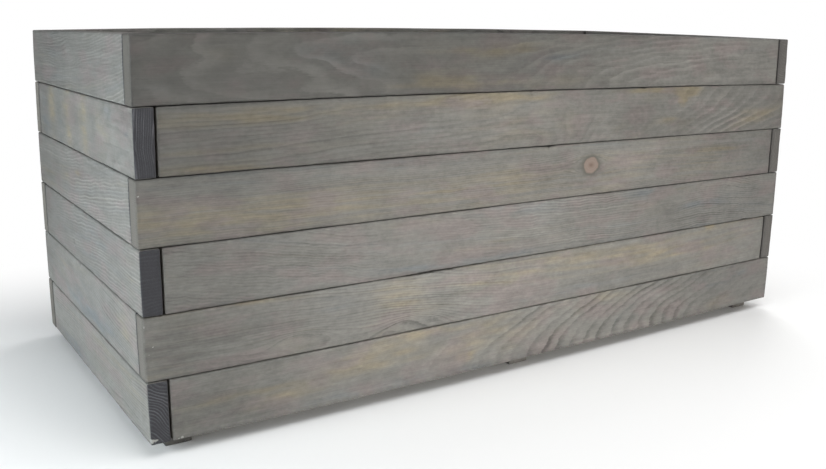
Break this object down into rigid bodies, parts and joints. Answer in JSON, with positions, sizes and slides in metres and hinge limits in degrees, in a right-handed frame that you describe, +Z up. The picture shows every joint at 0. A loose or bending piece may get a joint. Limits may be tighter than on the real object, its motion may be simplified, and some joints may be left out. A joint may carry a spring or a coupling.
{
  "type": "planter box",
  "caption": "Long rectangular planter box of planed, grey-stained wooden boards laid in courses that lap alternately at the corners, on an inner post frame with short feet and a slatted floor.",
  "frame": {"origin": "on the ground under the middle of the box, midway along its length and its width", "axes": "+X along the long side, +Y across the box towards the back, +Z up out of the open top"},
  "size_m": [1, 0.45, 0.4255],
  "materials": {
    "stained_boards": "translucent grey stain on planed softwood, grain and knots showing",
    "frame_wood": "planed softwood batten with the same grey stain, worn thinner",
    "floor_wood": "planed softwood board with the same grey stain",
    "zinc_screw": "zinc-plated countersunk wood screw"
  },
  "bodies": {
    "root": {"front_board_1": "stained_boards", "front_board_2": "stained_boards", "front_board_3": "stained_boards", "front_board_4": "stained_boards", "front_board_5": "stained_boards", "front_board_6": "stained_boards", "back_board_1": "stained_boards", "back_board_2": "stained_boards", "back_board_3": "stained_boards", "back_board_4": "stained_boards", "back_board_5": "stained_boards", "back_board_6": "stained_boards", "left_board_1": "stained_boards", "left_board_2": "stained_boards", "left_board_3": "stained_boards", "left_board_4": "stained_boards", "left_board_5": "stained_boards", "left_board_6": "stained_boards", "right_board_1": "stained_boards", "right_board_2": "stained_boards", "right_board_3": "stained_boards", "right_board_4": "stained_boards", "right_board_5": "stained_boards", "right_board_6": "stained_boards", "post_front_left": "frame_wood", "post_front_middle": "frame_wood", "post_front_right": "frame_wood", "post_back_left": "frame_wood", "post_back_middle": "frame_wood", "post_back_right": "frame_wood", "cross_rail_left": "frame_wood", "cross_rail_middle": "frame_wood", "cross_rail_right": "frame_wood", "floor_ledger_front_left": "frame_wood", "floor_ledger_front_right": "frame_wood", "floor_ledger_back_left": "frame_wood", "floor_ledger_back_right": "frame_wood", "floor_board_01": "floor_wood", "floor_board_02": "floor_wood", "floor_board_03": "floor_wood", "floor_board_04": "floor_wood", "floor_board_05": "floor_wood", "floor_board_06": "floor_wood", "floor_board_07": "floor_wood", "floor_board_08": "floor_wood", "floor_board_09": "floor_wood", "floor_board_10": "floor_wood", "floor_board_11": "floor_wood", "floor_board_12": "floor_wood", "wall_screws": "zinc_screw", "frame_screws": "zinc_screw", "ledger_screws": "zinc_screw", "floor_screws": "zinc_screw"}
  },
  "joints": []
}
